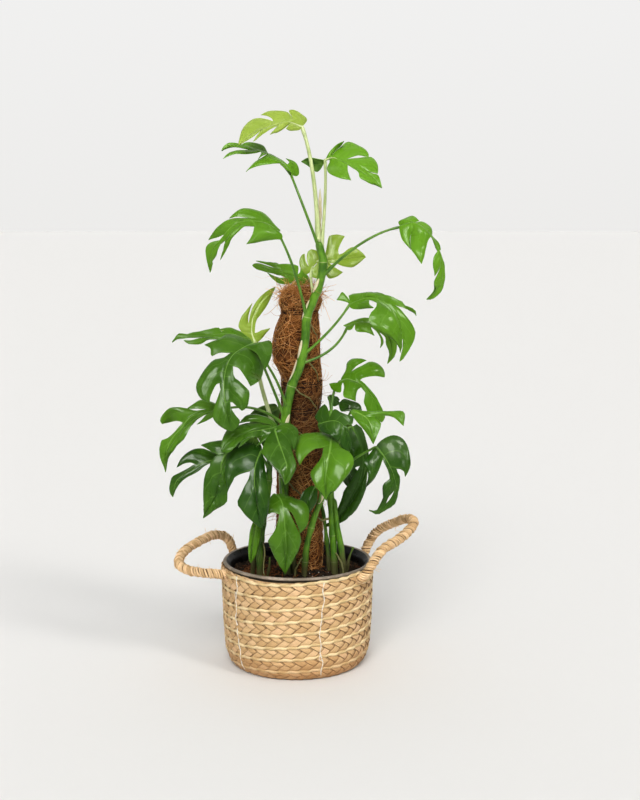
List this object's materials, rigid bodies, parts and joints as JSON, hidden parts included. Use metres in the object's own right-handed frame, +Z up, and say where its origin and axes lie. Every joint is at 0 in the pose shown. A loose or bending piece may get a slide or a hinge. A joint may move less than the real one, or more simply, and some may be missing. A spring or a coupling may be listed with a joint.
{
  "type": "potted philodendron",
  "caption": "Climbing foliage plant with deeply split leaves on a coir pole, growing in a plastic nursery pot inside a plaited basket with rope handles.",
  "frame": {"origin": "on the floor plane, at the centre of the basket's flat underside", "axes": "+Z up along the basket's axis, -Y towards the viewer of the plant's full side, +X to that viewer's right, where the higher handle is"},
  "size_m": [0.3777, 0.2468, 0.7411],
  "materials": {
    "plait": "matte",
    "rope": "matte",
    "pot": "satin",
    "soil": "matte",
    "coir": "matte",
    "stem": "satin",
    "sheath": "matte",
    "leaf": "satin",
    "leaf_dark": "satin",
    "leaf_pale": "satin",
    "leaf_lime": "satin"
  },
  "bodies": {
    "root": {"basket_body": "plait", "basket_handle_left": "rope", "basket_handle_right": "rope", "nursery_pot": "pot", "potting_soil": "soil", "coir_pole": "coir", "vine": "stem", "stem_centre": "stem", "stem_right": "stem", "stem_left": "stem", "stem_back": "stem", "papery_sheath": "sheath", "leaf_top_lime": "leaf_lime", "leaf_top_left": "leaf", "leaf_top_right": "leaf", "leaf_upper_left": "leaf", "leaf_upper_right": "leaf", "leaf_young_lime": "leaf_lime", "leaf_above_pole": "leaf", "leaf_right_upper": "leaf", "leaf_right_behind": "leaf", "leaf_left_pale": "leaf_pale", "leaf_left_level": "leaf", "leaf_left_great": "leaf", "leaf_right_pale": "leaf_pale", "leaf_left_outer": "leaf", "leaf_left_lower": "leaf", "leaf_front_left": "leaf", "leaf_front_left_low": "leaf", "leaf_middle_left": "leaf", "leaf_middle": "leaf", "leaf_front_right": "leaf", "leaf_right_dark_back": "leaf_dark", "leaf_right_bright": "leaf", "leaf_right_folded": "leaf", "leaf_right_outer": "leaf", "leaf_right_dark": "leaf_dark", "leaf_low_front": "leaf", "leaf_low_narrow": "leaf", "leaf_low_middle": "leaf_dark", "leaf_low_right": "leaf_dark", "leaf_back_right": "leaf", "leaf_back_left": "leaf", "leaf_back_low": "leaf"}
  },
  "joints": []
}
